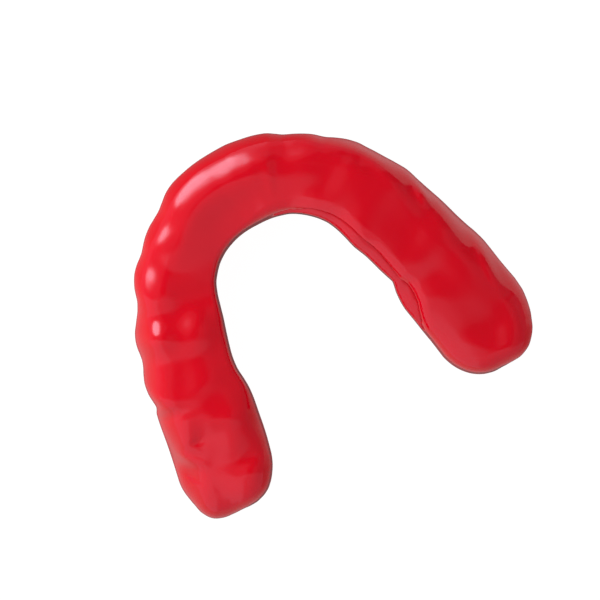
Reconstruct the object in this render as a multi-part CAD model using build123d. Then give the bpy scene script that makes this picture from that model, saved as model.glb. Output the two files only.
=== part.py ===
from build123d import *
import os
import numpy as np

# Custom upper-arch mouthguard: two EVA sheets thermoformed over a dental cast and bonded into one
# laminate. The outer sheet carries the biting surface and the outside walls, the inner liner carries
# the tooth channel. Millimetres. +Z points to the biting side, the labial rim rests on z = 0, the
# incisors face -Y, the wearer's right arm is at +X.
#
# Surfaces are described in arch coordinates: "along" runs on the arch centre line from the right
# arm's distal end to the left arm's, "across" is positive outwards (cheeks and lips), negative
# towards the palate.

# ---------------------------------------------------------------- driving dimensions
LENGTH_Y = 54.9               # incisors to distal ends
RIM_PALATAL_LINER = 2.4       # height of the liner's trimmed edge on the palate side
RIM_PALATAL_OUTER = 4.2       # height of the outer sheet's trimmed edge on the palate side
LINER_SHARE = 0.40            # liner's part of the laminate's thickness, from the tooth side
PALATE_CUT_SHIFT = 3.6        # how far the palatal trim line moves palatewards at the distal ends
PALATE_CUT_FADE = 7           # length along the arch over which that shift dies out
FRENUM_R = 3.2                # labial frenum relief, radius
BUCCAL_FRENUM_R = 2.4         # buccal frenum reliefs, radius
FRENUM_START = 9              # relief cylinders start this far outside the centre line
FRENUM_DEPTH = 9.5            # and run inwards this far
SOFTEN = 0.9                  # how far the sheet smooths the crowns' relief
CUSP_FLATNESS = 1.1           # 1 is a Gaussian bump, more is flatter on top
RELIEF_IN = 0.30              # how much of the outer relief shows in the channel's ceiling
SEPTUM_NARROW = 0.65          # how far each channel wall moves in where two teeth meet
SEPTUM_DROP = 0.75            # how far the channel's ceiling drops there
SEPTUM_SPREAD = 1.15          # how far along the arch that effect spreads
ARM_BLEND = 3                 # right and left arm shapes blend this far either side of mid-arch

# edge rounding
MAX_OUTER_ROUND = 5.5
MIN_PALATAL_ROUND = 1.8
BETWEEN_ROUND_SHARE = 0.62    # rounding between the sheets, against the outside's
CHANNEL_ROUNDS = (1.2, 1.0)   # outer edge, palatal edge
MAX_ROUND_SHARE = 0.8         # largest rounding, as a share of the half width
ROUND_ANGLES = np.radians([90, 62, 34, 0])   # points on a rounded edge, wall to top
TOP_STEPS = np.array([.2, .4, .6, .8])       # points between the two rounded edges
CROWN_PARAMETERS = np.linspace(0, 1, 2 * len(ROUND_ANGLES) + len(TOP_STEPS)).tolist()

# share of the wall thickness each surface lies inside the outline
WALL_INSET = {"outside": 0, "between": 1 - LINER_SHARE, "channel": 1}

# right half of the centre line as x across and y towards the incisors; in the model X = -x and
# Y = LENGTH_Y / 2 - y
HALF_ARCH = [(24.70, 8.30), (23.39, 14.96), (22.46, 21.96), (20.51, 29.69), (17.54, 36.99),
             (12.52, 43.20), (6.20, 46.91)]
ARCH_FRONT = (0, 47.8)
ARCH_POINTS = np.array([(-x, y) for x, y in HALF_ARCH] + [ARCH_FRONT] + HALF_ARCH[::-1], float)


# ---------------------------------------------------------------- curves
def natural_spline(knots, points):
    """natural cubic spline through points; gives the position and the slope at a knot value"""
    count = len(knots)
    steps = np.diff(knots)
    matrix = np.zeros((count, count))
    rhs = np.zeros(points.shape)
    matrix[0, 0] = matrix[-1, -1] = 1
    for i in range(1, count - 1):
        matrix[i, i - 1] = steps[i - 1]
        matrix[i, i] = 2 * (steps[i - 1] + steps[i])
        matrix[i, i + 1] = steps[i]
        rhs[i] = 6 * ((points[i + 1] - points[i]) / steps[i]
                      - (points[i] - points[i - 1]) / steps[i - 1])
    bend = np.linalg.solve(matrix, rhs)

    def curve(x):
        i = int(np.clip(np.searchsorted(knots, x) - 1, 0, count - 2))
        step, ahead, behind = steps[i], knots[i + 1] - x, x - knots[i]
        start = points[i] / step - bend[i] * step / 6
        end = points[i + 1] / step - bend[i + 1] * step / 6
        position = ((bend[i] * ahead ** 3 + bend[i + 1] * behind ** 3) / (6 * step)
                    + start * ahead + end * behind)
        slope = (bend[i + 1] * behind ** 2 - bend[i] * ahead ** 2) / (2 * step) - start + end
        return position, slope
    return curve


def monotone(xs, ys):
    """monotone cubic through a table of values, held constant past its ends"""
    xs = np.asarray(xs, float)
    ys = np.asarray(ys, float)
    steps = np.diff(xs)
    chords = np.diff(ys) / steps
    slopes = np.zeros(len(xs))
    slopes[0], slopes[-1] = chords[0], chords[-1]
    for i in range(1, len(xs) - 1):
        if chords[i - 1] * chords[i] > 0:
            before, after = 2 * steps[i] + steps[i - 1], steps[i] + 2 * steps[i - 1]
            slopes[i] = (before + after) / (before / chords[i - 1] + after / chords[i])

    def curve(x):
        x = np.clip(np.asarray(x, float), xs[0], xs[-1])
        i = np.clip(np.searchsorted(xs, x) - 1, 0, len(xs) - 2)
        t = (x - xs[i]) / steps[i]
        return (ys[i] * (1 + 2 * t) * (1 - t) ** 2 + steps[i] * slopes[i] * t * (1 - t) ** 2
                + ys[i + 1] * t * t * (3 - 2 * t) + steps[i] * slopes[i + 1] * t * t * (t - 1))
    return curve


def column_curves(table):
    """one monotone curve for each column after the first"""
    positions, *columns = zip(*table)
    return [monotone(positions, column) for column in columns]


def smooth_step(start, end, x):
    t = np.clip((np.asarray(x, float) - start) / (end - start), 0, 1)
    return t * t * (3 - 2 * t)


def softplus(x, width):
    return width * np.logaddexp(0, x / width)


KNOTS = np.r_[0, np.cumsum(np.linalg.norm(np.diff(ARCH_POINTS, axis=0), axis=1))]
CENTRE_LINE = natural_spline(KNOTS, ARCH_POINTS)
ARCH_LEN = float(KNOTS[-1])   # 102.6


# ---------------------------------------------------------------- measured tables
# teeth under the guard: position along the arch, half width
TEETH = [(-1.8, 4.8), (8.0, 5.0), (16.5, 3.5), (24.3, 4.2), (31.8, 3.3), (37.8, 2.8), (44.9, 4.4),
         (53.9, 4.6), (61.5, 3.0), (67.8, 3.3), (74.8, 3.7), (82.0, 3.5), (90.5, 5.0), (100.3, 4.8)]
GAPS = [((a + half_a) + (b - half_b)) / 2
        for (a, half_a), (b, half_b) in zip(TEETH[:-1], TEETH[1:])]
MID_GAP = 6                   # index of the gap between the central incisors
BUCCAL_OFFSET = 3             # buccal reliefs lie this many gaps to either side

# outer half width: distance along the arch, width from the centre line
OUTER_HALF = monotone(*zip(*[
    (0.0, 8.25), (3.0, 8.28), (8.0, 8.20), (10.5, 8.10), (12.0, 7.95), (13.0, 7.57), (14.0, 7.81),
    (15.2, 8.12), (16.5, 8.22), (18.0, 8.01), (19.2, 7.74), (20.0, 7.68), (21.0, 7.8), (22.0, 8.0),
    (23.0, 8.09), (24.0, 8.02), (26.0, 7.44), (27.5, 7.03), (28.5, 6.96), (29.3, 7.15),
    (30.5, 7.45), (32.0, 7.59), (33.3, 7.4), (34.3, 7.1), (35.0, 6.99), (36.0, 7.06), (37.0, 7.12),
    (38.2, 7.06), (39.5, 6.83), (40.5, 6.73), (41.5, 6.9), (43.0, 7.3), (44.0, 7.4), (46.0, 7.28),
    (48.0, 7.21), (50.0, 7.13), (52.0, 7.11), (54.0, 6.92), (56.0, 6.80), (57.3, 6.65),
    (58.4, 6.3), (59.5, 6.03), (61.0, 6.12), (63.0, 6.23), (64.5, 6.14), (66.0, 6.45),
    (67.5, 6.77), (69.0, 6.90), (70.5, 6.80), (72.5, 6.83), (74.5, 7.05), (76.5, 7.29),
    (78.5, 7.19), (80.0, 7.22), (83.0, 7.40), (86.0, 7.54), (88.0, 7.82), (90.0, 8.29),
    (92.0, 8.57), (95.6, 8.68), (100.1, 8.73), (ARCH_LEN, 8.47)]))
# palatal half width, same columns
PALATAL_HALF = monotone(*zip(*[
    (0.0, 7.99), (3.0, 8.08), (6.0, 8.05), (9.0, 8.14), (10.5, 8.08), (12.0, 7.88), (15.0, 7.33),
    (18.0, 7.12), (21.0, 7.10), (24.0, 7.06), (27.0, 6.80), (30.0, 6.38), (33.0, 6.06),
    (36.0, 6.04), (39.0, 6.21), (42.0, 6.51), (45.0, 6.76), (48.0, 6.94), (51.0, 7.09),
    (54.0, 7.15), (57.0, 7.20), (60.0, 7.13), (63.0, 7.15), (66.0, 7.19), (69.0, 7.29),
    (72.0, 7.60), (75.0, 7.99), (78.0, 8.28), (81.0, 8.11), (84.0, 8.11), (86.2, 7.98),
    (87.6, 7.86), (88.6, 8.1), (90.0, 8.51), (93.1, 8.92), (96.0, 8.80), (99.0, 8.81),
    (ARCH_LEN, 9.02)]))
# how far the liner's edge stands out past the outer sheet's edge on the left arm's palate side
LIP_OUT = monotone(*zip(*[
    (0.0, 0.0), (51.0, 0.0), (56.0, 0.15), (62.0, 0.35), (67.0, 0.6), (71.0, 0.95), (75.0, 1.25),
    (80.0, 1.35), (84.0, 1.15), (86.5, 0.8), (87.8, 0.65), (88.8, 1.1), (90.0, 1.75), (91.8, 2.0),
    (93.5, 1.85), (95.5, 1.1), (97.5, 0.35), (99.5, 0.0), (ARCH_LEN, 0.0)]))
# outline radius about each distal end, every 12 degrees from the outer side to the palate side
FAN_ANGLES = range(0, 181, 12)
RIGHT_FAN = monotone(FAN_ANGLES, [8.25, 8.28, 8.30, 8.50, 9.00, 9.25, 8.91, 8.39,
                                  8.14, 8.17, 8.30, 8.30, 8.13, 7.99, 7.95, 7.99])
LEFT_FAN = monotone(FAN_ANGLES, [8.47, 8.14, 8.00, 8.00, 8.20, 8.38, 8.55, 8.54,
                                 8.36, 8.30, 8.58, 8.86, 8.99, 9.02, 9.01, 9.02])

# biting side: distance from the nearer distal end, crest height, where the outer and palatal
# slopes start, outer and palatal steepness
RIGHT_BITE = column_curves([
    (-9, 11.97, 4.52, -4.68, 0.25, 0.21), (0, 11.50, 4.19, -4.61, 0.45, 0.11),
    (8, 12.78, 4.11, -3.63, 0.39, 0.26), (16, 14.15, 4.83, -3.39, 0.27, 0.34),
    (24, 14.48, 3.64, -1.91, 0.38, 0.34), (32, 15.69, 2.79, 0.19, 0.26, 0.37),
    (38, 16.68, 2.78, 0.26, 0.09, 0.48), (45, 15.98, 4.07, 0.16, 0.37, 0.34),
    (52, 16.67, 1.64, 0.85, 0.32, 0.39)])
LEFT_BITE = column_curves([
    (-9, 11.84, 4.69, -4.52, 0.17, 0.17), (0, 11.19, 4.21, -4.90, 0.21, 0.07),
    (8, 12.46, 4.19, -3.54, 0.24, 0.18), (16, 13.55, 3.39, -3.48, 0.51, 0.29),
    (24, 14.75, 4.10, -2.74, 0.34, 0.29), (32, 16.49, 2.96, -1.19, 0.43, 0.43),
    (38, 17.53, 2.96, -1.03, 0.21, 0.43), (45, 17.28, 2.32, 0.98, 0.11, 0.33),
    (52, 16.84, 3.12, 0.21, 0.17, 0.38)])
# edge rounding: distance from the nearer distal end, outer edge right and left arm,
# palatal edge right and left arm
OUTER_ROUND_R, OUTER_ROUND_L, PALATAL_ROUND_R, PALATAL_ROUND_L = column_curves([
    (-9, 3.86, 1.13, 3.44, 3.14), (0, 4.99, 4.10, 2.99, 2.42), (8, 4.74, 4.91, 3.30, 2.02),
    (16, 3.71, 6.45, 2.94, 1.81), (24, 3.72, 5.27, 2.78, 1.88), (32, 2.04, 5.00, 2.11, 2.23),
    (38, 3.04, 4.67, 2.38, 2.26), (45, 3.07, 5.33, 2.05, 2.24), (52, 4.52, 5.20, 2.51, 2.63)])
# tooth channel: distance from the nearer distal end, ceiling, where the outer and palatal slopes
# start, their steepness, outer wall thickness, palatal wall thickness
*CHANNEL_TOP, OUTER_WALL, PALATAL_WALL = column_curves([
    (-9, 8.6, 3.2, -3.2, .3, .3, 3.6, 3.0), (0, 9.1, 3.2, -3.2, .3, .3, 3.4, 2.8),
    (8, 9.8, 3.2, -3.2, .3, .35, 3.3, 2.7), (16, 10.7, 3.0, -2.6, .3, .5, 3.2, 2.6),
    (24, 11.9, 2.9, -1.8, .4, .75, 3.1, 2.4), (32, 13.0, 2.7, -0.2, .5, 1.1, 3.0, 2.3),
    (38, 13.6, 2.7, .3, .5, 1.25, 3.0, 2.3), (45, 13.8, 2.7, .4, .5, 1.3, 3.0, 2.3),
    (52, 13.8, 2.7, .4, .5, 1.3, 3.0, 2.3)])

# moulded cusps, ridges and valleys: along, across, half length along, half width across, height,
# turn in degrees
CUSPS = [
    (-7.2, 2.6, 2.9, 2.9, -1.38, 21), (-2.1, -4.4, 1.3, 1.6, 0.64, -3),
    (1.1, 5.1, 5.1, 1.2, -0.42, -27), (1.7, -1.2, 4.5, 1.9, 0.84, 8),
    (3.3, 5.5, 1.1, 2.2, 1.61, -52), (3.5, 3.8, 4.2, 1.8, 1.15, 36),
    (3.7, 5.0, 0.6, 1.5, -0.64, -46), (4.0, 8.6, 1.9, 8.1, -1.17, -25),
    (5.9, -3.9, 3.6, 1.8, 0.90, -7), (7.1, -4.5, 1.0, 5.2, 0.17, -1),
    (9.6, 1.7, 2.6, 3.8, 1.10, -1), (11.5, 10.6, 1.0, 5.0, -1.03, -6),
    (13.5, 6.7, 1.1, 1.7, 1.09, -43), (15.0, -1.1, 2.8, 2.0, 0.79, -79),
    (15.1, 0.2, 1.2, 3.3, -0.24, 3), (18.7, 8.2, 2.1, 4.5, -0.75, -1),
    (20.1, 4.3, 6.6, 2.2, 0.89, -5), (23.3, -3.3, 4.9, 2.4, 1.27, -46),
    (24.5, -5.7, 2.1, 1.4, -0.40, 38), (28.6, 8.1, 1.5, 3.2, 0.52, -5),
    (29.4, 4.8, 2.0, 2.7, 0.67, 2), (33.2, 5.2, 1.9, 1.1, 0.50, 27),
    (33.7, 3.0, 3.4, 1.0, 0.25, 12), (33.9, 8.8, 1.5, 4.2, -0.87, -6),
    (34.6, 2.9, 1.6, 3.5, 0.33, 34), (35.6, 3.1, 2.9, 5.2, -0.60, 12),
    (38.0, 7.5, 1.5, 2.9, -1.15, 28), (41.7, 1.5, 8.3, 1.2, 0.24, 1),
    (45.8, 3.4, 4.2, 2.8, 1.20, 0), (50.2, 5.9, 7.2, 1.1, 0.38, -19),
    (51.2, -0.0, 5.9, 1.6, 0.56, 0), (55.0, 4.2, 1.2, 2.2, 0.31, 32),
    (55.8, 4.0, 2.3, 1.0, -0.56, -12), (56.4, 0.0, 0.7, 2.7, 0.15, -6),
    (61.0, -1.3, 4.6, 1.6, 0.35, 15), (63.3, -0.3, 5.0, 2.8, -1.40, -11),
    (64.8, 6.0, 5.1, 1.2, -0.52, 32), (66.8, 4.4, 2.3, 4.8, -0.92, -7),
    (67.5, 5.3, 7.2, 0.8, 0.51, 4), (69.0, -7.5, 9.2, 1.1, 1.83, 0),
    (71.8, 1.8, 2.2, 7.0, -0.31, 5), (73.6, 4.7, 2.9, 0.9, 0.58, -12),
    (74.5, -9.0, 3.6, 6.0, 1.07, 45), (79.3, 1.6, 1.4, 6.1, -0.04, -11),
    (80.5, 5.7, 1.4, 0.7, 1.06, -16), (82.2, -7.7, 5.5, 3.3, 1.00, -11),
    (85.8, 5.1, 2.1, 8.8, 0.46, 15), (86.0, 5.7, 3.0, 1.5, 1.27, -8),
    (87.7, -5.5, 2.2, 7.5, 0.24, -30), (92.7, 2.6, 4.1, 2.2, 0.38, 6),
    (93.1, -7.2, 1.8, 4.2, 0.38, -5), (94.9, 1.0, 1.3, 6.1, -0.07, 14),
    (95.2, 6.5, 3.6, 0.7, 0.74, -10), (98.4, -1.1, 3.3, 6.5, 0.86, -34),
    (102.9, -4.3, 2.9, 2.5, 0.54, 17), (106.4, 1.7, 1.2, 1.3, 0.16, -14),
    (109.1, 0.0, 1.2, 5.6, 0.26, -52), (22.9, 5.1, 1.7, 3.0, 1.1, 0),
    (5.0, 3.3, 0.45, 0.9, -0.16, 0)]


# ---------------------------------------------------------------- arch coordinates
def frame(along):
    """table point and outward normal; the line runs on straight past both ends"""
    on_line = min(max(along, 0.0), ARCH_LEN)
    point, tangent = CENTRE_LINE(on_line)
    tangent = tangent / np.hypot(*tangent)
    return point + (along - on_line) * tangent, np.array([-tangent[1], tangent[0]])


def place(along, across, z):
    """arch coordinates to a model point"""
    point, normal = frame(along)
    x, y = point + across * normal
    return Vector(-x, LENGTH_Y / 2 - y, float(z))


def from_end(along):
    """distance from the nearer distal end, negative past it"""
    return min(along, ARCH_LEN - along)


def by_arm(along, right, left):
    """value of a right-arm and a left-arm curve, blended at mid-arch"""
    distance = from_end(along)
    middle = ARCH_LEN / 2
    share = float(smooth_step(middle - ARM_BLEND, middle + ARM_BLEND, along))
    return float(right(distance)) * (1 - share) + float(left(distance)) * share


# ---------------------------------------------------------------- surfaces
def cusps(along, across):
    """relief of the crowns, averaged over a 3 x 3 patch as the sheet softens it"""
    z = 0.0
    shifts = (-SOFTEN, 0.0, SOFTEN)
    for shift_along, shift_across in [(i, j) for i in shifts for j in shifts]:
        for at_along, at_across, length, width, height, turn in CUSPS:
            cos, sin = np.cos(np.radians(turn)), np.sin(np.radians(turn))
            x, y = along + shift_along - at_along, across + shift_across - at_across
            square = ((x * cos + y * sin) / length) ** 2 + ((y * cos - x * sin) / width) ** 2
            z = z + height * np.exp(-.5 * square ** CUSP_FLATNESS) / len(shifts) ** 2
    return z


def ridge(across, values, outer_blend, palatal_blend):
    """flat crest falling off to both sides"""
    crest, outer_start, palatal_start, outer_slope, palatal_slope = values
    return (crest - outer_slope * softplus(across - outer_start, outer_blend)
            - palatal_slope * softplus(palatal_start - across, palatal_blend))


def bite(along, across):
    values = [by_arm(along, right, left) for right, left in zip(RIGHT_BITE, LEFT_BITE)]
    return ridge(across, values, .8, 1.0) + cusps(along, across)


def septum(along):
    """1 where two teeth meet, fading to 0"""
    return max(np.exp(-.5 * ((along - gap) / SEPTUM_SPREAD) ** 2) for gap in GAPS)


def channel(along, across):
    values = [float(curve(from_end(along))) for curve in CHANNEL_TOP]
    return (ridge(across, values, .5, .6) - SEPTUM_DROP * septum(along)
            + RELIEF_IN * cusps(along, across))


def surface(along, across, layer):
    if layer == "outside":
        return bite(along, across)
    if layer == "channel":
        return channel(along, across)
    return LINER_SHARE * bite(along, across) + (1 - LINER_SHARE) * channel(along, across)


def edge_drop(from_wall, radius):
    """how far a rounded edge lies below the surface"""
    short = np.clip(radius - from_wall, 0, radius)
    return radius - np.sqrt(radius * radius - short * short)


def end_half(along, fan, inset, start_angle):
    """half width past a distal end, from a quarter of the fan of radii about it"""
    angles = np.linspace(start_angle, start_angle + 90, 181)
    radii = fan(angles) - inset
    reach = radii * np.sin(np.radians(angles))
    half = np.abs(radii * np.cos(np.radians(angles)))
    order = np.argsort(reach)
    return float(np.interp(-from_end(along), reach[order], half[order], right=0.0))


def halves(along, layer):
    """outer and palatal half widths of a layer's outline"""
    distance = from_end(along)
    outer_inset = WALL_INSET[layer] * float(OUTER_WALL(distance))
    palatal_inset = WALL_INSET[layer] * float(PALATAL_WALL(distance))
    if 0 <= along <= ARCH_LEN:
        narrow = SEPTUM_NARROW * septum(along) if layer == "channel" else 0
        outer = float(OUTER_HALF(along)) - outer_inset - narrow
        palatal = float(PALATAL_HALF(along)) - float(LIP_OUT(along)) - palatal_inset - narrow
        return outer, palatal
    fan = RIGHT_FAN if along < 0 else LEFT_FAN
    return end_half(along, fan, outer_inset, 0), end_half(along, fan, palatal_inset, 90)


def edge_rounds(along, layer, outer, palatal):
    """rounding radii of the outer and palatal edges"""
    if layer == "channel":
        outer_round, palatal_round = CHANNEL_ROUNDS
    else:
        outer_round = min(by_arm(along, OUTER_ROUND_R, OUTER_ROUND_L), MAX_OUTER_ROUND)
        palatal_round = max(by_arm(along, PALATAL_ROUND_R, PALATAL_ROUND_L), MIN_PALATAL_ROUND)
    if layer == "between":
        outer_round *= BETWEEN_ROUND_SHARE
        palatal_round *= BETWEEN_ROUND_SHARE
    return (min(outer_round, MAX_ROUND_SHARE * outer),
            min(palatal_round, MAX_ROUND_SHARE * palatal))


# ---------------------------------------------------------------- lofted hulls
def section(along, layer, floor):
    """closed wire across the arch: outer wall, top, palatal wall, floor"""
    outer, palatal = halves(along, layer)
    outer_round, palatal_round = edge_rounds(along, layer, outer, palatal)
    outer_edge = outer - outer_round * (1 - np.sin(ROUND_ANGLES))
    palatal_edge = -palatal + palatal_round * (1 - np.sin(ROUND_ANGLES[::-1]))
    top = outer_edge[-1] + (palatal_edge[0] - outer_edge[-1]) * TOP_STEPS
    across = np.r_[outer_edge, top, palatal_edge]
    heights = (surface(along, across, layer) - edge_drop(outer - across, outer_round)
               - edge_drop(palatal + across, palatal_round))
    points = [place(along, offset, z) for offset, z in zip(across, heights)]
    outer_foot, palatal_foot = [Vector(end.X, end.Y, floor) for end in (points[0], points[-1])]
    crown = Edge.make_spline(points, tangents=[Vector(0, 0, 1), Vector(0, 0, -1)],
                             parameters=CROWN_PARAMETERS)
    return Wire([Edge.make_line(outer_foot, points[0]), crown,
                 Edge.make_line(points[-1], palatal_foot),
                 Edge.make_line(palatal_foot, outer_foot)])


# stations along the arch: the teeth and the gaps between them
STATIONS = sorted([centre for centre, _ in TEETH][1:-1] + GAPS)


def hull(layer, floor, past_right, past_left):
    """closed solid under a layer's surface; extra stations are distances past each distal end"""
    stations = [-e for e in past_right] + STATIONS + [ARCH_LEN + e for e in past_left]
    return Solid.make_loft([section(along, layer, floor) for along in stations])


# ---------------------------------------------------------------- trimming tools
def palate_cut(height):
    """block inside the arch: trims the palatal rim higher than the labial rim"""
    bottom = -8
    trim_line = []
    for along in np.linspace(-10, ARCH_LEN + 10, 61):
        fade = 1 - float(smooth_step(0, PALATE_CUT_FADE, from_end(along)))
        trim_line.append(place(along, -PALATE_CUT_SHIFT * fade, bottom))
    wire = Wire([Edge.make_spline(trim_line), Edge.make_line(trim_line[-1], trim_line[0])])
    return Solid.extrude(Face(wire), Vector(0, 0, height - bottom))


def cut_reliefs(piece):
    """frenum reliefs in the labial rim"""
    for gap, radius in ((MID_GAP, FRENUM_R), (MID_GAP - BUCCAL_OFFSET, BUCCAL_FRENUM_R),
                        (MID_GAP + BUCCAL_OFFSET, BUCCAL_FRENUM_R)):
        _, normal = frame(GAPS[gap])
        # the model turns the table by 180 degrees, so this normal points inwards there
        plane = Plane(origin=place(GAPS[gap], FRENUM_START, 0),
                      z_dir=Vector(normal[0], normal[1], 0))
        piece = piece - Solid.make_cylinder(radius, FRENUM_DEPTH, plane)
    return piece


# ---------------------------------------------------------------- liner's lip
LIP_STATIONS = [0.5, *range(4, 65, 4), 67.5, 71.0, 74.5, 78.0, 81.0, 84.0, 86.2, 87.7, 89.0, 90.5,
                92.0, 93.6, 95.4, 97.4, 99.4, 101.6]


def lip_section(along):
    """the liner's trimmed edge, standing out under the outer sheet's edge"""
    root = -halves(along, "between")[1] + .5
    tip = -float(PALATAL_HALF(along))
    low, high = RIM_PALATAL_LINER, RIM_PALATAL_OUTER
    profile = [(root, low), (tip + .25, low), (tip, low + .4), (tip + .02, high - .35),
               (tip + .3, high), (root, high)]
    corners = [place(along, across, z) for across, z in profile]
    return Wire([Edge.make_line(a, b) for a, b in zip(corners, corners[1:] + corners[:1])])


# ---------------------------------------------------------------- pieces
def make_outer_layer(between):
    outside = hull("outside", 0.0, [8.0, 7.2, 5.4, 2.8, 0.0], [-2.2, 0.9, 3.8, 6.2, 8.0])
    return cut_reliefs(outside - between - palate_cut(RIM_PALATAL_OUTER))


def make_liner(between):
    trough = hull("channel", -6.0, [4.5, 3.8, 2.4, 0.4], [-2.2, 0.6, 2.8, 4.2, 4.7])
    below = Pos(0, 0, -10) * Box(120, 120, 20)
    liner = between - trough - below - palate_cut(RIM_PALATAL_LINER)
    lip = Solid.make_loft([lip_section(along) for along in LIP_STATIONS])
    return cut_reliefs(liner + lip)


# the face shared by the two sheets
between_sheets = hull("between", -3.0, [6.0, 5.3, 3.8, 1.6], [-2.2, 0.9, 3.4, 5.2, 6.0])

os.makedirs("parts", exist_ok=True)
export_step(make_outer_layer(between_sheets), "parts/outer_layer.step")
export_step(make_liner(between_sheets), "parts/inner_liner.step")
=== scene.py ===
"""A horseshoe mouthguard of two moulded sheets, an outer one over a liner, on a white floor.

It lies biting side up (+Z) with its rim down at z = 0. The front teeth face -Y, the distal
ends +Y, and the wearer's right arm is at +X. Shapes are in millimetres, in guard coordinates:
  along   distance along the arch from the right distal end
  across  distance from the arch centre line, positive on the outer (lip and cheek) side
Each sheet is a stack of closed rows of points, one point per column round the guard.
"""
import math

import bmesh
import bpy
import numpy as np
from mathutils import Matrix, Vector


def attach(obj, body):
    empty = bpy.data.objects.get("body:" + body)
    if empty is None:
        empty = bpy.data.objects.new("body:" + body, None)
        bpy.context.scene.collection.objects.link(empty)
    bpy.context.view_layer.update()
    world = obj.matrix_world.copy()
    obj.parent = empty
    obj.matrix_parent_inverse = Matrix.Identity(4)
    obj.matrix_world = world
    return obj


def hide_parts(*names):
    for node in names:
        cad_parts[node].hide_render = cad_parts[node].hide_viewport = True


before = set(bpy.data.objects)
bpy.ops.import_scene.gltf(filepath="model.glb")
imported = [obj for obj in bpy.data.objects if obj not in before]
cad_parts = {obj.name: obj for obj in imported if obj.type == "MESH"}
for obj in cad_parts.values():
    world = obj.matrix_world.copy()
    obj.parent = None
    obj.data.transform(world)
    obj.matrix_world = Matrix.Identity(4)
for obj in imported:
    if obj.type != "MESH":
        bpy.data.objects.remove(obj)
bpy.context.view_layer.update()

MM = 0.001
PLAN_Y = 27.45          # plan (x, y) lies at X = -x, Y = PLAN_Y - y


# ---------------------------------------------------------------- curves
def natural_spline(knots, points):
    """natural cubic through 2D points, giving place and derivative"""
    gap = np.diff(knots)
    chord = np.diff(points, axis=0) / gap[:, None]
    matrix = np.eye(len(knots))
    rhs = np.zeros_like(points)
    for i in range(1, len(knots) - 1):
        matrix[i, i - 1:i + 2] = gap[i - 1], 2 * (gap[i - 1] + gap[i]), gap[i]
        rhs[i] = 6 * (chord[i] - chord[i - 1])
    bend = np.linalg.solve(matrix, rhs)

    def curve(x):
        i = np.clip(np.searchsorted(knots, x) - 1, 0, len(knots) - 2)
        span = gap[i][:, None]
        ahead = (knots[i + 1] - x)[:, None]
        behind = (x - knots[i])[:, None]
        start = points[i] / span - bend[i] * span / 6
        stop = points[i + 1] / span - bend[i + 1] * span / 6
        place = ((bend[i] * ahead ** 3 + bend[i + 1] * behind ** 3) / (6 * span)
                 + start * ahead + stop * behind)
        slope = (-bend[i] * ahead ** 2 + bend[i + 1] * behind ** 2) / (2 * span) - start + stop
        return place, slope
    return curve


def pchip(xs, ys):
    """monotone cubic through a table, held level beyond its ends"""
    xs = np.asarray(xs, float)
    ys = np.asarray(ys, float)
    gap = np.diff(xs)
    chord = np.diff(ys) / gap
    slope = np.zeros(len(xs))
    slope[0], slope[-1] = chord[0], chord[-1]
    for i in range(1, len(xs) - 1):
        if chord[i - 1] * chord[i] > 0:
            w1, w2 = 2 * gap[i] + gap[i - 1], gap[i] + 2 * gap[i - 1]
            slope[i] = (w1 + w2) / (w1 / chord[i - 1] + w2 / chord[i])

    def curve(x):
        x = np.clip(np.asarray(x, float), xs[0], xs[-1])
        i = np.clip(np.searchsorted(xs, x) - 1, 0, len(xs) - 2)
        t = (x - xs[i]) / gap[i]
        return (ys[i] * (1 + 2 * t) * (1 - t) ** 2 + gap[i] * slope[i] * t * (1 - t) ** 2
                + ys[i + 1] * t * t * (3 - 2 * t) + gap[i] * slope[i + 1] * t * t * (t - 1))
    return curve


def sstep(low, high, x):
    t = np.clip((np.asarray(x, float) - low) / (high - low), 0, 1)
    return t * t * (3 - 2 * t)


def softplus(x, width):
    return width * np.logaddexp(0, x / width)


def mix(a, b, t):
    return a * (1 - t) + b * t


def steps(count, top=1):
    """even steps up to top, leaving out 0"""
    return np.linspace(0, top, count + 1)[1:]


# ---------------------------------------------------------------- arch
# one half of the centre line in plan, distal end to front: x, y
ARCH_HALF = [(24.70, 8.30), (23.39, 14.96), (22.46, 21.96), (20.51, 29.69), (17.54, 36.99),
             (12.52, 43.20), (6.20, 46.91)]
ARCH = np.array([(-x, y) for x, y in ARCH_HALF] + [(0, 47.8)] + ARCH_HALF[::-1], float)
KNOTS = np.r_[0, np.cumsum(np.linalg.norm(np.diff(ARCH, axis=0), axis=1))]
ARCH_LEN = float(KNOTS[-1])

# tooth crowns: centre along the arch, half width
TEETH = [(-1.8, 4.8), (8.0, 5.0), (16.5, 3.5), (24.3, 4.2), (31.8, 3.3), (37.8, 2.8), (44.9, 4.4),
         (53.9, 4.6), (61.5, 3.0), (67.8, 3.3), (74.8, 3.7), (82.0, 3.5), (90.5, 5.0), (100.3, 4.8)]
TOOTH_GAPS = [((ca + ha) + (cb - hb)) / 2 for (ca, ha), (cb, hb) in zip(TEETH[:-1], TEETH[1:])]

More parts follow.
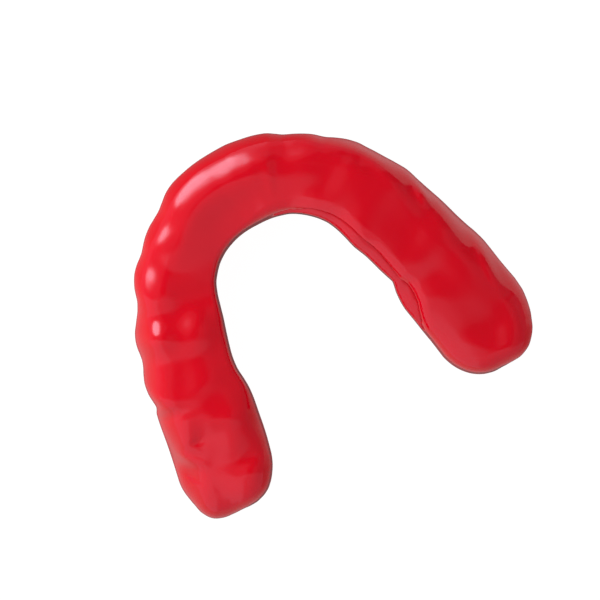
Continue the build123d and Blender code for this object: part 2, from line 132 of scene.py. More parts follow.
# half width on the outer side: along, width
OUTER_HALF = [
    (0.0, 8.25), (3.0, 8.28), (8.0, 8.20), (10.5, 8.10), (12.0, 7.95), (13.0, 7.57), (14.0, 7.81),
    (15.2, 8.12), (16.5, 8.22), (18.0, 8.01), (19.2, 7.74), (20.0, 7.68), (21.0, 7.8), (22.0, 8.0),
    (23.0, 8.09), (24.0, 8.02), (26.0, 7.44), (27.5, 7.03), (28.5, 6.96), (29.3, 7.15),
    (30.5, 7.45), (32.0, 7.59), (33.3, 7.4), (34.3, 7.1), (35.0, 6.99), (36.0, 7.06), (37.0, 7.12),
    (38.2, 7.06), (39.5, 6.83), (40.5, 6.73), (41.5, 6.9), (43.0, 7.3), (44.0, 7.4), (46.0, 7.28),
    (48.0, 7.21), (50.0, 7.13), (52.0, 7.11), (54.0, 6.92), (56.0, 6.80), (57.3, 6.65),
    (58.4, 6.3), (59.5, 6.03), (61.0, 6.12), (63.0, 6.23), (64.5, 6.14), (66.0, 6.45),
    (67.5, 6.77), (69.0, 6.90), (70.5, 6.80), (72.5, 6.83), (74.5, 7.05), (76.5, 7.29),
    (78.5, 7.19), (80.0, 7.22), (83.0, 7.40), (86.0, 7.54), (88.0, 7.82), (90.0, 8.29),
    (92.0, 8.57), (95.6, 8.68), (100.1, 8.73), (ARCH_LEN, 8.47)]
# half width on the palatal side: along, width
PALATAL_HALF = [
    (0.0, 7.99), (3.0, 8.08), (6.0, 8.05), (9.0, 8.14), (10.5, 8.08), (12.0, 7.88), (15.0, 7.33),
    (18.0, 7.12), (21.0, 7.10), (24.0, 7.06), (27.0, 6.80), (30.0, 6.38), (33.0, 6.06),
    (36.0, 6.04), (39.0, 6.21), (42.0, 6.51), (45.0, 6.76), (48.0, 6.94), (51.0, 7.09),
    (54.0, 7.15), (57.0, 7.20), (60.0, 7.13), (63.0, 7.15), (66.0, 7.19), (69.0, 7.29),
    (72.0, 7.60), (75.0, 7.99), (78.0, 8.28), (81.0, 8.11), (84.0, 8.11), (86.2, 7.98),
    (87.6, 7.86), (88.6, 8.1), (90.0, 8.51), (93.1, 8.92), (96.0, 8.80), (99.0, 8.81),
    (ARCH_LEN, 9.02)]
# radius round each distal end, every 12 degrees from the outer side to the palatal side
FAN_ANGLES = range(0, 181, 12)
RIGHT_FAN = [8.25, 8.28, 8.30, 8.50, 9.00, 9.25, 8.91, 8.39,
             8.14, 8.17, 8.30, 8.30, 8.13, 7.99, 7.95, 7.99]
LEFT_FAN = [8.47, 8.14, 8.00, 8.00, 8.20, 8.38, 8.55, 8.54,
            8.36, 8.30, 8.58, 8.86, 8.99, 9.02, 9.01, 9.02]
# how far the liner's palatal lip stands out beyond the outer sheet: along, width
LIP_WIDTH = [
    (0.0, 0.0), (51.0, 0.0), (56.0, 0.15), (62.0, 0.35), (67.0, 0.6), (71.0, 0.95), (75.0, 1.25),
    (80.0, 1.35), (84.0, 1.15), (86.5, 0.8), (87.8, 0.65), (88.8, 1.1), (90.0, 1.75),
    (91.8, 2.0), (93.2, 1.8), (94.8, 1.0), (96.4, 0.3), (98.0, 0.0), (ARCH_LEN, 0.0)]

# ---------------------------------------------------------------- biting side
# The tables below have one row per distance from the nearer distal end:
ARM_AT = (-9, 0, 8, 16, 24, 32, 38, 45, 52)
# crest height, where the outer and palatal slopes start, their steepness
RIGHT_TOP = [(11.97, 4.52, -4.68, .25, .21), (11.50, 4.19, -4.61, .45, .11),
             (12.78, 4.11, -3.63, .39, .26), (14.15, 4.83, -3.39, .27, .34),
             (14.48, 3.64, -1.91, .38, .34), (15.69, 2.79, 0.19, .26, .37),
             (16.68, 2.78, 0.26, .09, .48), (15.98, 4.07, 0.16, .37, .34),
             (16.67, 1.64, 0.85, .32, .39)]
LEFT_TOP = [(11.84, 4.69, -4.52, .17, .17), (11.19, 4.21, -4.90, .21, .07),
            (12.46, 4.19, -3.54, .24, .18), (13.55, 3.39, -3.48, .51, .29),
            (14.75, 4.10, -2.74, .34, .29), (16.49, 2.96, -1.19, .43, .43),
            (17.53, 2.96, -1.03, .21, .43), (17.28, 2.32, 0.98, .11, .33),
            (16.84, 3.12, 0.21, .17, .38)]
# edge rounding: outer edge right and left arm, palatal edge right and left arm
ROUNDING = [(3.86, 1.13, 3.44, 3.14), (4.99, 4.10, 2.99, 2.42), (4.74, 4.91, 3.30, 2.02),
            (3.71, 6.45, 2.94, 1.81), (3.72, 5.27, 2.78, 1.88), (2.04, 5.00, 2.11, 2.23),
            (3.04, 4.67, 2.38, 2.26), (3.07, 5.33, 2.05, 2.24), (4.52, 5.20, 2.51, 2.63)]
# channel for the teeth: the same five columns as the tops, then outer and palatal wall thickness
CHANNEL = [(8.6, 3.2, -3.2, .3, .3, 3.6, 3.0), (9.1, 3.2, -3.2, .3, .3, 3.4, 2.8),
           (9.8, 3.2, -3.2, .3, .35, 3.3, 2.7), (10.7, 3.0, -2.6, .3, .5, 3.2, 2.6),
           (11.9, 2.9, -1.8, .4, .75, 3.1, 2.4), (13.0, 2.7, -0.2, .5, 1.1, 3.0, 2.3),
           (13.6, 2.7, .3, .5, 1.25, 3.0, 2.3), (13.8, 2.7, .4, .5, 1.3, 3.0, 2.3),
           (13.8, 2.7, .4, .5, 1.3, 3.0, 2.3)]
# moulded cusps, ridges and valleys: along, across, half length, half width, height, turn (degrees)
CUSPS = [
    (-7.2, 2.6, 2.9, 2.9, -1.38, 21), (-2.1, -4.4, 1.3, 1.6, 0.64, -3),
    (1.1, 5.1, 5.1, 1.2, -0.42, -27), (1.7, -1.2, 4.5, 1.9, 0.84, 8),
    (3.3, 5.5, 1.1, 2.2, 1.61, -52), (3.5, 3.8, 4.2, 1.8, 1.19, 36),
    (3.7, 5.0, 0.6, 1.5, -0.64, -46), (4.0, 8.6, 1.9, 8.1, -1.17, -25),
    (5.9, -3.9, 3.6, 1.8, 0.90, -7), (7.1, -4.5, 1.0, 5.2, 0.17, -1),
    (9.6, 1.7, 2.6, 3.8, 1.10, -1), (11.5, 10.6, 1.0, 5.0, -1.03, -6),
    (13.5, 6.7, 1.1, 1.7, 1.09, -43), (15.0, -1.1, 2.8, 2.0, 0.79, -79),
    (15.1, 0.2, 1.2, 3.3, -0.24, 3), (18.7, 8.2, 2.1, 4.5, -0.75, -1),
    (20.1, 4.3, 6.6, 2.2, 0.89, -5), (23.3, -3.3, 4.9, 2.4, 1.27, -46),
    (24.5, -5.7, 2.1, 1.4, -0.40, 38), (28.6, 8.1, 1.5, 3.2, 0.52, -5),
    (29.4, 4.8, 2.0, 2.7, 0.67, 2), (33.2, 5.2, 1.9, 1.1, 0.50, 27),
    (33.7, 3.0, 3.4, 1.0, 0.25, 12), (33.9, 8.8, 1.5, 4.2, -0.87, -6),
    (34.6, 2.9, 1.6, 3.5, 0.33, 34), (35.6, 3.1, 2.9, 5.2, -0.60, 12),
    (38.0, 7.5, 1.5, 2.9, -1.15, 28), (41.7, 1.5, 8.3, 1.2, 0.24, 1),
    (45.8, 3.4, 4.2, 2.8, 1.20, 0), (50.2, 5.9, 7.2, 1.1, 0.38, -19),
    (51.2, -0.0, 5.9, 1.6, 0.56, 0), (55.0, 4.2, 1.2, 2.2, 0.31, 32),
    (55.8, 4.0, 2.3, 1.0, -0.56, -12), (56.4, 0.0, 0.7, 2.7, 0.15, -6),
    (61.0, -1.3, 4.6, 1.6, 0.35, 15), (63.3, -0.3, 5.0, 2.8, -1.40, -11),
    (64.8, 6.0, 5.1, 1.2, -0.52, 32), (66.8, 4.4, 2.3, 4.8, -0.92, -7),
    (67.5, 5.3, 7.2, 0.8, 0.51, 4), (69.0, -7.5, 9.2, 1.1, 1.83, 0),
    (71.8, 1.8, 2.2, 7.0, -0.31, 5), (73.6, 4.7, 2.9, 0.9, 0.58, -12),
    (74.5, -9.0, 3.6, 6.0, 1.07, 45), (80.5, 5.7, 1.4, 0.7, 1.06, -16),
    (82.2, -7.7, 5.5, 3.3, 1.00, -11), (85.8, 5.1, 2.1, 8.8, 0.46, 15),
    (86.0, 5.7, 3.0, 1.5, 1.27, -8), (87.7, -5.5, 2.2, 7.5, 0.24, -30),
    (92.7, 2.6, 4.1, 2.2, 0.38, 6), (93.1, -7.2, 1.8, 4.2, 0.38, -5),
    (95.2, 6.5, 3.6, 0.7, 0.74, -10), (98.4, -1.1, 3.3, 6.5, 0.86, -34),
    (102.9, -4.3, 2.9, 2.5, 0.54, 17), (106.4, 1.7, 1.2, 1.3, 0.16, -14),
    (109.1, 0.0, 1.2, 5.6, 0.26, -52), (22.9, 5.1, 1.7, 3.0, 1.1, 0),
    (5.0, 3.3, 0.5, 0.9, -0.24, 0), (-0.6, 5.6, 1.0, 0.4, -0.22, 42),
    (101.8, 5.5, 2.2, 0.5, -0.16, 12), (106.3, 5.1, 2.2, 0.5, -0.16, -25)]
CUSP_FLATNESS = 1.1     # 1 is a Gaussian bump
BROAD_CUSPS = [c for c in CUSPS if min(c[2], c[3]) > 1.2 and abs(c[4]) < 1.6]


def arm_curves(table):
    return [pchip(ARM_AT, column) for column in zip(*table)]


right_top, left_top = arm_curves(RIGHT_TOP), arm_curves(LEFT_TOP)
rounding, channel_curves = arm_curves(ROUNDING), arm_curves(CHANNEL)


def arm(along):
    """distance from the nearer distal end, and 0 on the right arm .. 1 on the left"""
    return (np.minimum(along, ARCH_LEN - along),
            sstep(ARCH_LEN / 2 - 3, ARCH_LEN / 2 + 3, along))


def bumps(table, along, across):
    z = np.zeros_like(along)
    for mid_along, mid_across, length, width, height, turn in table:
        c, s = math.cos(math.radians(turn)), math.sin(math.radians(turn))
        dx, dy = along - mid_along, across - mid_across
        r2 = ((dx * c + dy * s) / length) ** 2 + ((-dx * s + dy * c) / width) ** 2
        z += height * np.exp(-.5 * r2 ** CUSP_FLATNESS)
    return z


def ridge(shape, across, soft_out, soft_pal):
    """a crest with a soft-started slope down each side"""
    crest, start_out, start_pal, steep_out, steep_pal = shape
    return (crest - steep_out * softplus(across - start_out, soft_out)
            - steep_pal * softplus(start_pal - across, soft_pal))


def bite(along, across):
    near, left = arm(along)
    shape = [mix(f(near), g(near), left) for f, g in zip(right_top, left_top)]
    return ridge(shape, across, .8, 1.0) + bumps(CUSPS, along, across)


def septum(along):
    """1 at each gap between teeth, 0 away from them"""
    return np.max([np.exp(-.5 * ((along - gap) / 1.15) ** 2) for gap in TOOTH_GAPS], axis=0)


def channel(along, across):
    shape = [f(arm(along)[0]) for f in channel_curves[:5]]
    return (ridge(shape, across, .5, .6) - .75 * septum(along)
            + .45 * bumps(BROAD_CUSPS, along, across))


def mid_surface(along, across):
    """where the two sheets meet"""
    return .4 * bite(along, across) + .6 * channel(along, across)


# ---------------------------------------------------------------- columns round the guard
# In order: outer side, round the left end, palatal side back again, round the right end.
ARCH_COLS, FAN_COLS = 420, 72
STATIONS = np.linspace(0, ARCH_LEN, ARCH_COLS)
FAN = np.linspace(0, math.pi, FAN_COLS + 2)[1:-1]
POINT, TANGENT = natural_spline(KNOTS, ARCH)(STATIONS)
TANGENT = TANGENT / np.linalg.norm(TANGENT, axis=-1)[:, None]
NORMAL = np.stack([-TANGENT[:, 1], TANGENT[:, 0]], -1)
near_end, on_left = arm(STATIONS)
wall_out, wall_pal = [f(near_end) for f in channel_curves[5:]]
round_right, round_left, pal_right, pal_left = [f(near_end) for f in rounding]
edge_out = np.clip(mix(round_right, round_left, on_left), .5, 6.0)
edge_pal = mix(pal_right * (1 - .6 * sstep(4, 12, near_end)), np.maximum(pal_left, 2.1),
               sstep(ARCH_LEN / 2 - 6, ARCH_LEN / 2 + 8, STATIONS))


def fan(end, angles, onward, radii):
    """columns round a distal end; onward is the sign of the arch direction that leaves it"""
    side = (1 - np.cos(angles)) / 2
    direction = (np.cos(angles)[:, None] * NORMAL[end]
                 + np.sin(angles)[:, None] * (TANGENT[end] * onward))
    return (np.repeat(POINT[end][None], FAN_COLS, 0), direction, side,
            pchip(FAN_ANGLES, radii)(np.degrees(angles)), 0 * side,
            mix(wall_out[end], wall_pal[end], side), mix(edge_out[end], edge_pal[end], side))


ONE = np.ones(ARCH_COLS)
BACK = STATIONS[::-1]
PARTS = [
    (POINT, NORMAL, 0 * ONE, pchip(*zip(*OUTER_HALF))(STATIONS), 0 * ONE, wall_out, edge_out),
    fan(-1, FAN, 1, LEFT_FAN),
    (POINT[::-1], -NORMAL[::-1], ONE, pchip(*zip(*PALATAL_HALF))(BACK),
     pchip(*zip(*LIP_WIDTH))(BACK), wall_pal[::-1], edge_pal[::-1]),
    fan(0, FAN[::-1], -1, RIGHT_FAN)]
# per column: foot and direction in plan, 0 outer .. 1 palatal, half width, lip width,
# wall thickness, edge rounding
FOOT, DIRECTION, SIDE, HALF, LIP, WALL, EDGE = [np.concatenate(part) for part in zip(*PARTS)]
COLUMNS = len(HALF)
FOOT_ALONG = np.concatenate([STATIONS, np.full(FAN_COLS, ARCH_LEN), BACK, np.zeros(FAN_COLS)])
# change in along and across per mm of radius
ALONG_RATE = np.concatenate([0 * ONE, np.sin(FAN), 0 * ONE, -np.sin(FAN[::-1])])
ACROSS_RATE = np.concatenate([ONE, np.cos(FAN), -ONE, np.cos(FAN[::-1])])
ON_ARCH = np.abs(ALONG_RATE) < 1e-9


def guard_coords(radius):
    return FOOT_ALONG + ALONG_RATE * radius, ACROSS_RATE * radius


def at(radius, z):
    """row of points, one per column, in metres"""
    plan = FOOT + DIRECTION * radius[:, None]
    return np.stack([-plan[:, 0], PLAN_Y - plan[:, 1], z], -1) * MM


def ring_smooth(values, reach):
    """weighted running mean round the loop"""
    weights = np.hanning(2 * reach + 3)[1:-1]
    weights /= weights.sum()
    return np.convolve(np.r_[values[-reach:], values, values[:reach]], weights, "valid")


# ---------------------------------------------------------------- profile shared by the sheets
PAL = sstep(.3, .8, SIDE)                       # 0 outer side, 1 palatal side
FRONT = sstep(20, 42, np.minimum(FOOT_ALONG, ARCH_LEN - FOOT_ALONG))
POWER = mix(2., mix(2.2, 2., arm(FOOT_ALONG)[1]), PAL)  # edge: 2 is round, more is squarer
SEPTA = septum(FOOT_ALONG) * ON_ARCH
FACE = HALF - LIP                               # outer sheet's widest line
RELIEF = FACE - ring_smooth(FACE, 14)           # crowns stand out, gaps draw in
OPEN = PAL * sstep(.15, .5, ring_smooth(LIP, 8))    # where the liner's lip is seen
SHELF = sstep(.0, .14, ring_smooth(LIP, 8))     # where the outer sheet is trimmed higher
DRAFT = mix(mix(.35, 1.15, FRONT), 0, PAL)      # how far the outer wall leans in to the rim
TOP_INSET = mix(.06, .25, PAL)                  # top edge inside the widest line

# notches in the outer rim: along, half width, height
NOTCHES = [(49.3, 2.7, 3.3), (28.5, 2.2, 2.3), (71.1, 2.2, 2.3)]
notched = sum(height * np.exp(-np.abs((FOOT_ALONG - middle) / width) ** 3.2)
              * (1 - PAL) * ON_ARCH for middle, width, height in NOTCHES)
PAL_RIM, PAL_LINER_RIM = 4.2, 2.4               # palatal rim heights of the two sheets
LINER_RIM = mix(notched, PAL_LINER_RIM, PAL)


def drop(angle, radius):
    """fall of an edge at this angle round it"""
    return radius * (1 - np.maximum(np.cos(angle), 0) ** (2 / POWER))


def edge_inset(angle, radius):
    return radius * (1 - np.sin(angle) ** (2 / POWER))


def top_rows(width, edge, height, top_count, arc_count, end=math.pi / 2):
    """a top surface from the centre line out, then over its rounded edge"""
    rows = []
    for t in np.linspace(0, 1, top_count, endpoint=False):
        radius = t * (width - edge)
        rows.append(at(radius, height(*guard_coords(radius))))
    for t in np.linspace(0, 1, arc_count):
        radius = width - edge_inset(t * end, edge)
        rows.append(at(radius, height(*guard_coords(radius)) - drop(t * end, edge)))
    return rows


def edge_z(width, edge, height):
    return height(*guard_coords(width)) - edge


def straight(r0, z0, r1, z1):
    return [at(mix(r0, r1, t), mix(z0, z1, t)) for t in (.5, 1)]


def eased(r0, z0, r1, z1, count):
    """a wall whose radius eases in and out"""
    return [at(mix(r0, r1, sstep(0, 1, t)), mix(z0, z1, t)) for t in steps(count)]


def corner(r0, z0, r1, z1, count, vertical_first=True):
    """quarter round between two points"""
    rows = []
    for angle in steps(count, math.pi / 2):
        a, b = 1 - math.cos(angle), math.sin(angle)
        if not vertical_first:
            a, b = b, a
        rows.append(at(mix(r0, r1, a), mix(z0, z1, b)))
    return rows


def flare(v):
    """outer wall's radius from its top edge, v from 0 at the top to 1 at the rim"""
    crown = np.clip(RELIEF, 0, None) * sstep(.15, .75, v)
    neck = (mix(mix(.22, .30, FRONT), 0, PAL) * math.exp(-((v - .52) / .2) ** 2)
            * (1 - .7 * SEPTA))
    return TOP_INSET * sstep(0, .8, v) * (1 - OPEN) - DRAFT * v ** 1.6 - crown - neck


# outer sheet's edge rolls right over, or only part way where the lip is seen
edge_end = math.pi / 2 * (1 - .36 * OPEN)
top_width = FACE - TOP_INSET
wall_top = top_width - edge_inset(edge_end, EDGE)
wall_top_z = bite(*guard_coords(wall_top)) - drop(edge_end, EDGE)
OUTER_RIM = mix(notched, PAL_RIM, PAL)
OUTER_RIM = OUTER_RIM + PAL * SHELF * (ring_smooth(wall_top_z, 5) - .50 - OUTER_RIM)
rim_round = .42 - .30 * OPEN
rim_radius = wall_top + flare(1.0)
# the face where the sheets meet; the outer sheet has .6 of the wall
meet = FACE - .6 * WALL
meet_rim = np.minimum(meet - DRAFT * .9, rim_radius - rim_round - .3)
meet_top = meet - TOP_INSET
meet_edge = EDGE * .62


# ---------------------------------------------------------------- sheets
def outer_rows():
    inner_round = .15
    rows = top_rows(top_width, EDGE, bite, 30, 22, edge_end)
    wall_end_z = OUTER_RIM + rim_round
    rows += [at(wall_top + flare(v), mix(wall_top_z, wall_end_z, v)) for v in steps(20)]
    rim_in = rim_radius - rim_round
    rows += corner(rim_radius, wall_end_z, rim_in, OUTER_RIM, 5)
    rows += straight(rim_in, OUTER_RIM, meet_rim + inner_round, OUTER_RIM)
    inner_z = OUTER_RIM + inner_round
    rows += corner(meet_rim + inner_round, OUTER_RIM, meet_rim, inner_z, 2, False)
    rows += eased(meet_rim, inner_z, meet_top, edge_z(meet_top, meet_edge, mid_surface), 8)
    return rows + top_rows(meet_top, meet_edge, mid_surface, 10, 7)[::-1][1:]


def liner_rows():
    gap = .03                   # clearance under the outer sheet
    lip_power = 3.2             # squareness of the lip's roll
    lip_round, inner_round = .25, .2

    def top(along, across):
        return mid_surface(along, across) - gap

    width, foot = meet_top - gap, meet_rim - gap
    rows = top_rows(width, meet_edge, top, 10, 7)
    # shoulder under the outer sheet's edge
    shoulder = np.maximum(OUTER_RIM - .05, LINER_RIM + .30)
    rows += eased(width, edge_z(width, meet_edge, top), foot, shoulder + .02, 8)

    # the lip rolls off from the shoulder and swells beside the crease
    lip = np.where(PAL > .02, mix(foot + .03, HALF - .02, PAL), foot + .03)
    crease = np.where(PAL > .02, np.minimum(mix(foot, rim_radius - rim_round - .05, PAL),
                                            lip - .01), foot)
    crease_z = shoulder - .02
    lip_z = crease_z - .30 * OPEN * (lip - crease)
    roll = mix(.02, .3 + .6 * OPEN / np.maximum(PAL, 1e-12), PAL)
    bead = .20 * OPEN * np.minimum(LIP, 1.)
    rows.append(at(crease, crease_z))
    roll_angles = np.linspace(math.asin(.6), math.pi / 2, 14)[1:]
    for x in np.r_[steps(9, .6), np.sin(roll_angles)]:
        fall = roll * (1 - max(1 - x ** lip_power, 0.) ** (1 / lip_power))
        swell = bead * 6.75 * x * (1 - x) ** 2      # 6.75 brings the peak to 1
        rows.append(at(mix(crease, lip, x), mix(crease_z, lip_z, x) - fall + swell))

    rows += straight(lip, lip_z - roll, lip, LINER_RIM + lip_round)
    rows += corner(lip, LINER_RIM + lip_round, lip - lip_round, LINER_RIM, 4)
    inside = FACE - WALL - .65 * SEPTA
    inside_rim = np.minimum(inside - mix(mix(.2, .9, FRONT), 0, PAL), lip - .6)
    rows += straight(lip - lip_round, LINER_RIM, inside_rim + inner_round, LINER_RIM)
    inner_z = LINER_RIM + inner_round
    rows += corner(inside_rim + inner_round, LINER_RIM, inside_rim, inner_z, 3, False)
    edge = mix(1.2, 1.0, PAL)
    rows += eased(inside_rim, inner_z, inside, edge_z(inside, edge, channel), 16)
    return rows + top_rows(inside, edge, channel, 20, 7)[::-1][1:]


def closed_mesh(name, rows):
    """rows joined into one closed skin; the first and last fold onto the centre line"""
    points = np.concatenate(rows)
    index = np.arange(len(points)).reshape(len(rows), COLUMNS)
    palatal = ARCH_COLS + FAN_COLS
    for row in (index[0], index[-1]):
        row[palatal:palatal + ARCH_COLS] = row[:ARCH_COLS][::-1]
        row[ARCH_COLS:palatal] = row[ARCH_COLS - 1]
        row[palatal + ARCH_COLS:] = row[0]
    turned = np.roll(index, -1, axis=1)
    quads = np.stack([index[:-1], index[1:], turned[1:], turned[:-1]], -1).reshape(-1, 4)
    faces = []
    for quad in quads.tolist():
        face = [v for i, v in enumerate(quad) if v != quad[i - 1]]
        if len(set(face)) >= 3:
            faces.append(face)
    used = np.unique(np.concatenate(faces))
    remap = np.full(len(points), -1)
    remap[used] = np.arange(len(used))
    mesh = bpy.data.meshes.new(name)
    mesh.from_pydata(points[used].tolist(), [], [remap[face].tolist() for face in faces])
    mesh.update()
    bm = bmesh.new()
    bm.from_mesh(mesh)
    bmesh.ops.recalc_face_normals(bm, faces=bm.faces[:])
    bm.to_mesh(mesh)
    bm.free()
    for polygon in mesh.polygons:
        polygon.use_smooth = True
    sheet = bpy.data.objects.new(name, mesh)
    bpy.context.scene.collection.objects.link(sheet)
    return sheet


outer = closed_mesh("outer_sheet", outer_rows())
liner = closed_mesh("liner_sheet", liner_rows())


# ---------------------------------------------------------------- shader helpers
class Socket:
    """a socket with arithmetic, so light can be written as a formula of direction"""
    def __init__(self, tree, sock):
        self.tree, self.sock = tree, sock

    def op(self, kind, *others):
        node = self.tree.nodes.new("ShaderNodeMath")
        node.operation = kind
        for i, value in enumerate((self,) + others):
            if isinstance(value, Socket):
                self.tree.links.new(value.sock, node.inputs[i])
            else:
                node.inputs[i].default_value = float(value)
        return Socket(self.tree, node.outputs[0])

    def __add__(self, other): return self.op("ADD", other)
    __radd__ = __add__
    def __mul__(self, other): return self.op("MULTIPLY", other)
    __rmul__ = __mul__
    def __sub__(self, other): return self.op("SUBTRACT", other)
    def __rsub__(self, other): return (self * -1.0) + other
    def __truediv__(self, other): return self.op("DIVIDE", other)

    def soft(self, width):
        """0 below zero, 1 above, over about this width"""
        return (1.0 + 0.0 * self) / (1.0 + (self * (-4.0 / width)).op("EXPONENT"))


def hypot(a, b):
    return (a * a + b * b + 1e-9).op("SQRT")


def dot(tree, source, direction):
    node = tree.nodes.new("ShaderNodeVectorMath")
    node.operation = "DOT_PRODUCT"
    node.inputs[1].default_value = direction
    tree.links.new(source, node.inputs[0])
    return Socket(tree, node.outputs["Value"])


def empty_tree(block):
    block.use_nodes = True
    block.node_tree.nodes.clear()
    return block.node_tree, block.node_tree.nodes.new, block.node_tree.links.new


# ---------------------------------------------------------------- sheet material
def eva(name, colour, dark, rough):
    """glossy translucent red, faintly clouded and rippled"""
    mat = bpy.data.materials.new(name)
    tree, new, link = empty_tree(mat)
    out = new("ShaderNodeOutputMaterial")
    shader = new("ShaderNodeBsdfPrincipled")
    link(shader.outputs[0], out.inputs[0])
    coords = new("ShaderNodeTexCoord")

    def noise(scale, detail):
        node = new("ShaderNodeTexNoise")
        node.inputs["Scale"].default_value = scale
        node.inputs["Detail"].default_value = detail
        link(coords.outputs["Object"], node.inputs["Vector"])
        return node.outputs["Fac"]

    clouds = noise(scale=85, detail=3)
    blend = new("ShaderNodeMix")
    blend.data_type = "RGBA"
    blend.inputs["A"].default_value = (*dark, 1)
    blend.inputs["B"].default_value = (*colour, 1)
    link(clouds, blend.inputs["Factor"])
    link(blend.outputs["Result"], shader.inputs["Base Color"])
    shader.inputs["Subsurface Weight"].default_value = .22
    shader.inputs["Subsurface Radius"].default_value = (1.0, .12, .10)
    shader.inputs["Subsurface Scale"].default_value = .0016
    shader.inputs["IOR"].default_value = 1.49
    grain = noise(scale=900, detail=4)
    rough_range = new("ShaderNodeMapRange")
    rough_range.inputs["To Min"].default_value = rough - .03
    rough_range.inputs["To Max"].default_value = rough + .05
    link(grain, rough_range.inputs["Value"])
    link(rough_range.outputs[0], shader.inputs["Roughness"])
    ripple = noise(scale=260, detail=5)
    bump = new("ShaderNodeBump")
    bump.inputs["Strength"].default_value = .12
    bump.inputs["Distance"].default_value = .00012
    link(ripple, bump.inputs["Height"])
    link(bump.outputs[0], shader.inputs["Normal"])
    return mat


outer.data.materials.append(
    eva("outer_eva", colour=(.74, .0004, .012), dark=(.68, .0001, .009), rough=.065))
liner.data.materials.append(
    eva("liner_eva", colour=(.70, .0004, .012), dark=(.64, .0001, .009), rough=.09))
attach(outer, "root")
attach(liner, "root")
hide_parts("outer_layer")
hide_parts("inner_liner")

# ---------------------------------------------------------------- floor
# level directions of the view, and straight up
RIGHT = Vector((-.8746, .4848, 0))
UP = Vector((-.4848, -.8746, 0))
SKY = Vector((0, 0, 1))
FLOOR_SEEN = .97        # brightness to the camera
FLOOR_FILL = .60        # painted light: the floor's glow that lights the guard in place of bounce light
# brightness in reflections, a painted reflection with painted shade: low in general where the
# guard's shadow darkens the floor, raised towards the view's lower side, added at upper right
FLOOR_MIRROR, FLOOR_LOW, FLOOR_HIGH = .10, .60, .48


def floor_material():
    mat = bpy.data.materials.new("floor_white")
    tree, new, link = empty_tree(mat)
    out = new("ShaderNodeOutputMaterial")
    shader = new("ShaderNodeBsdfPrincipled")
    link(shader.outputs[0], out.inputs[0])
    shader.inputs["Base Color"].default_value = (.10, .10, .10, 1)
    shader.inputs["Roughness"].default_value = .9
    shader.inputs["Specular IOR Level"].default_value = 0
    shader.inputs["Emission Color"].default_value = (1, 1, 1, 1)
    path = new("ShaderNodeLightPath")
    seen = Socket(tree, path.outputs["Is Camera Ray"])
    glossy = Socket(tree, path.outputs["Is Glossy Ray"])
    incoming = new("ShaderNodeNewGeometry").outputs["Incoming"]

    def facing(direction):
        return dot(tree, incoming, direction)

    # rays that left the guard towards the view's lower side, and its upper right
    low = (facing(UP) + .45 * facing(RIGHT) - .12).soft(.7)
    high = (-.22 - facing(UP)).soft(.3) * (-.12 - facing(RIGHT)).soft(.3)
    mirror = FLOOR_MIRROR + (FLOOR_LOW - FLOOR_MIRROR) * low + FLOOR_HIGH * high
    # painted shade: steep rays find it nearly dark, which darkens the guard's edges in reflection
    mirror = mirror * (.06 + .94 * (.90 - facing(SKY)).soft(.15)) + .015
    # painted light: the floor glows, evenly white to the camera, as fill light on the guard, and
    # with the painted shade above in reflections
    light = seen * FLOOR_SEEN + glossy * mirror + (1.0 - seen) * (1.0 - glossy) * FLOOR_FILL
    link(light.sock, shader.inputs["Emission Strength"])
    return mat


bpy.ops.mesh.primitive_plane_add(size=3, location=(0, 0, -.00002))
floor = bpy.context.object
floor.name = "floor"
floor.data.materials.append(floor_material())

# ---------------------------------------------------------------- camera
ELEVATION = math.radians(89.5)
DISTANCE, VIEW_WIDTH = 1.2, .100        # metres
SENSOR = 36
target = Vector((.44, PLAN_Y - 26.25, 8)) * MM
backward = SKY * math.sin(ELEVATION) - UP * math.cos(ELEVATION)
camera_up = UP * math.sin(ELEVATION) + SKY * math.cos(ELEVATION)
lens = bpy.data.cameras.new("camera")
camera = bpy.data.objects.new("camera", lens)
bpy.context.scene.collection.objects.link(camera)
pose = Matrix((RIGHT, camera_up, backward)).transposed().to_4x4()
pose.translation = target + backward * DISTANCE
camera.matrix_world = pose
lens.sensor_width = SENSOR
lens.lens = SENSOR * DISTANCE / VIEW_WIDTH
lens.clip_start = .05
bpy.context.scene.camera = camera

# ---------------------------------------------------------------- studio
# Angles are radians from straight up, towards the view's right and top.
FLAG = (.71, .54)                       # centre of the dark ceiling flag
FLAG_LONG, FLAG_SHORT = .96, .36        # its half sizes, the long one to the upper right
KEY, KEY_RADIUS = (-.68, .69), .45      # round key light
LEFT, LOW = -.08, -.27                  # where the left and low panels start
FLAG_EDGE, PANEL_EDGE, KEY_EDGE = .0818182, .12, .2     # softness
# brightness: everywhere, then added by each panel or region
BASE, LEFT_ONLY, LEFT_LOW, LOW_ONLY, FAR, TOP, GRAZE = .25, .10, .64, .27, .06, .15, .25
FLAG_LIGHT, KEY_LIGHT = .10, 6.49
SHADE = .15                             # share taken off at the right
FILL, FILL_RIGHT, FILL_UP, FILL_SKY = .645, -.22, .12, .05      # diffuse light and its slopes
BLUE_TINT = .22                         # extra blue in reflections


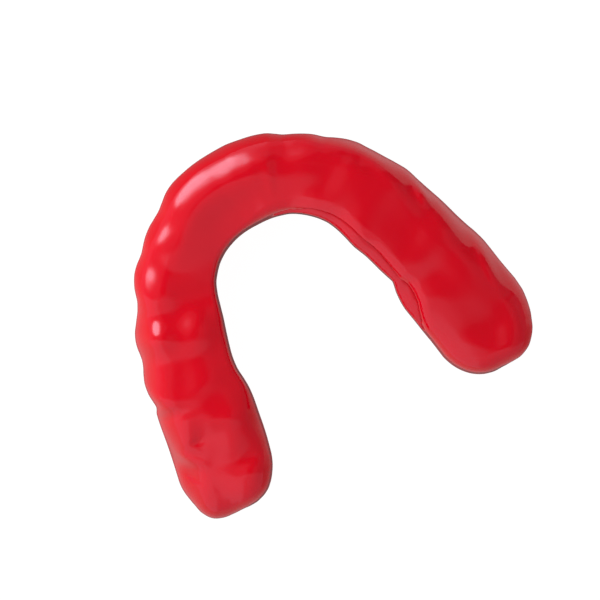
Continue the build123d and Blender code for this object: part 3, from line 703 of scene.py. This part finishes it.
def studio():
    world = bpy.data.worlds.new("studio")
    bpy.context.scene.world = world
    tree, new, link = empty_tree(world)
    out = new("ShaderNodeOutputWorld")
    background = new("ShaderNodeBackground")
    link(background.outputs[0], out.inputs[0])
    direction = new("ShaderNodeTexCoord").outputs["Generated"]
    path = new("ShaderNodeLightPath")
    to_right, to_up, to_sky = [dot(tree, direction, axis) for axis in (RIGHT, UP, SKY)]
    tilt = to_sky.op("ARCCOSINE")
    level = hypot(to_right, to_up)
    x, y = tilt * to_right / level, tilt * to_up / level

    flag_x = ((x - FLAG[0]) + (y - FLAG[1])) * .7071
    flag_y = ((y - FLAG[1]) - (x - FLAG[0])) * .7071
    inside = 1.0 - hypot(flag_x / FLAG_LONG, flag_y / FLAG_SHORT)
    flag = (inside * (.5 * (FLAG_LONG + FLAG_SHORT))).soft(FLAG_EDGE)
    # the flag's lower right corner is cut off
    flag = flag * (1.0 - (x * .577 - y).soft(.16) * (x - .42).soft(.16))

    left, low = (LEFT - x).soft(PANEL_EDGE), (LOW - y).soft(PANEL_EDGE)
    far, top = (tilt - 1.45).soft(.4), (y - .9).soft(PANEL_EDGE)
    lit = (BASE + LEFT_ONLY * left * (1.0 - low) + LEFT_LOW * left * low
           + LOW_ONLY * (1.0 - left) * low + FAR * far + TOP * top)
    lit = (lit * (1.0 - SHADE * (x - .85).soft(.4) * (y + .5).soft(.5))
           + GRAZE * left * (1.0 - low) * (tilt - 1.1).soft(.3))
    key = (KEY_RADIUS - hypot(x - KEY[0], y - KEY[1])).soft(KEY_EDGE) * KEY_LIGHT
    mirror = lit * (1.0 - flag) + FLAG_LIGHT * flag + key
    fill = FILL + to_right * FILL_RIGHT + to_up * FILL_UP + to_sky * FILL_SKY
    glossy = Socket(tree, path.outputs["Is Glossy Ray"])
    seen = Socket(tree, path.outputs["Is Camera Ray"])
    light = mirror * glossy + fill * (1.0 - glossy) * (1.0 - seen) + FLOOR_SEEN * seen
    colour = new("ShaderNodeCombineColor")
    colour.inputs[0].default_value = colour.inputs[1].default_value = 1
    link((1.0 + glossy * BLUE_TINT).sock, colour.inputs[2])
    link(colour.outputs[0], background.inputs[0])
    link(light.sock, background.inputs[1])


studio()

# a small square light up and to the view's left, unseen in reflections
lamp = bpy.data.lights.new("side_fill", "AREA")
lamp.shape = "RECTANGLE"
lamp.size = lamp.size_y = .10
lamp.energy = .108
side_fill = bpy.data.objects.new("side_fill", lamp)
bpy.context.scene.collection.objects.link(side_fill)
toward = (SKY * .75 - RIGHT * .80 + UP * .10).normalized()
side_fill.location = target + toward * .15
side_fill.rotation_euler = toward.to_track_quat("Z", "Y").to_euler()
side_fill.visible_glossy = False
bpy.context.scene.view_settings.view_transform = "Standard"

bpy.context.view_layer.update()
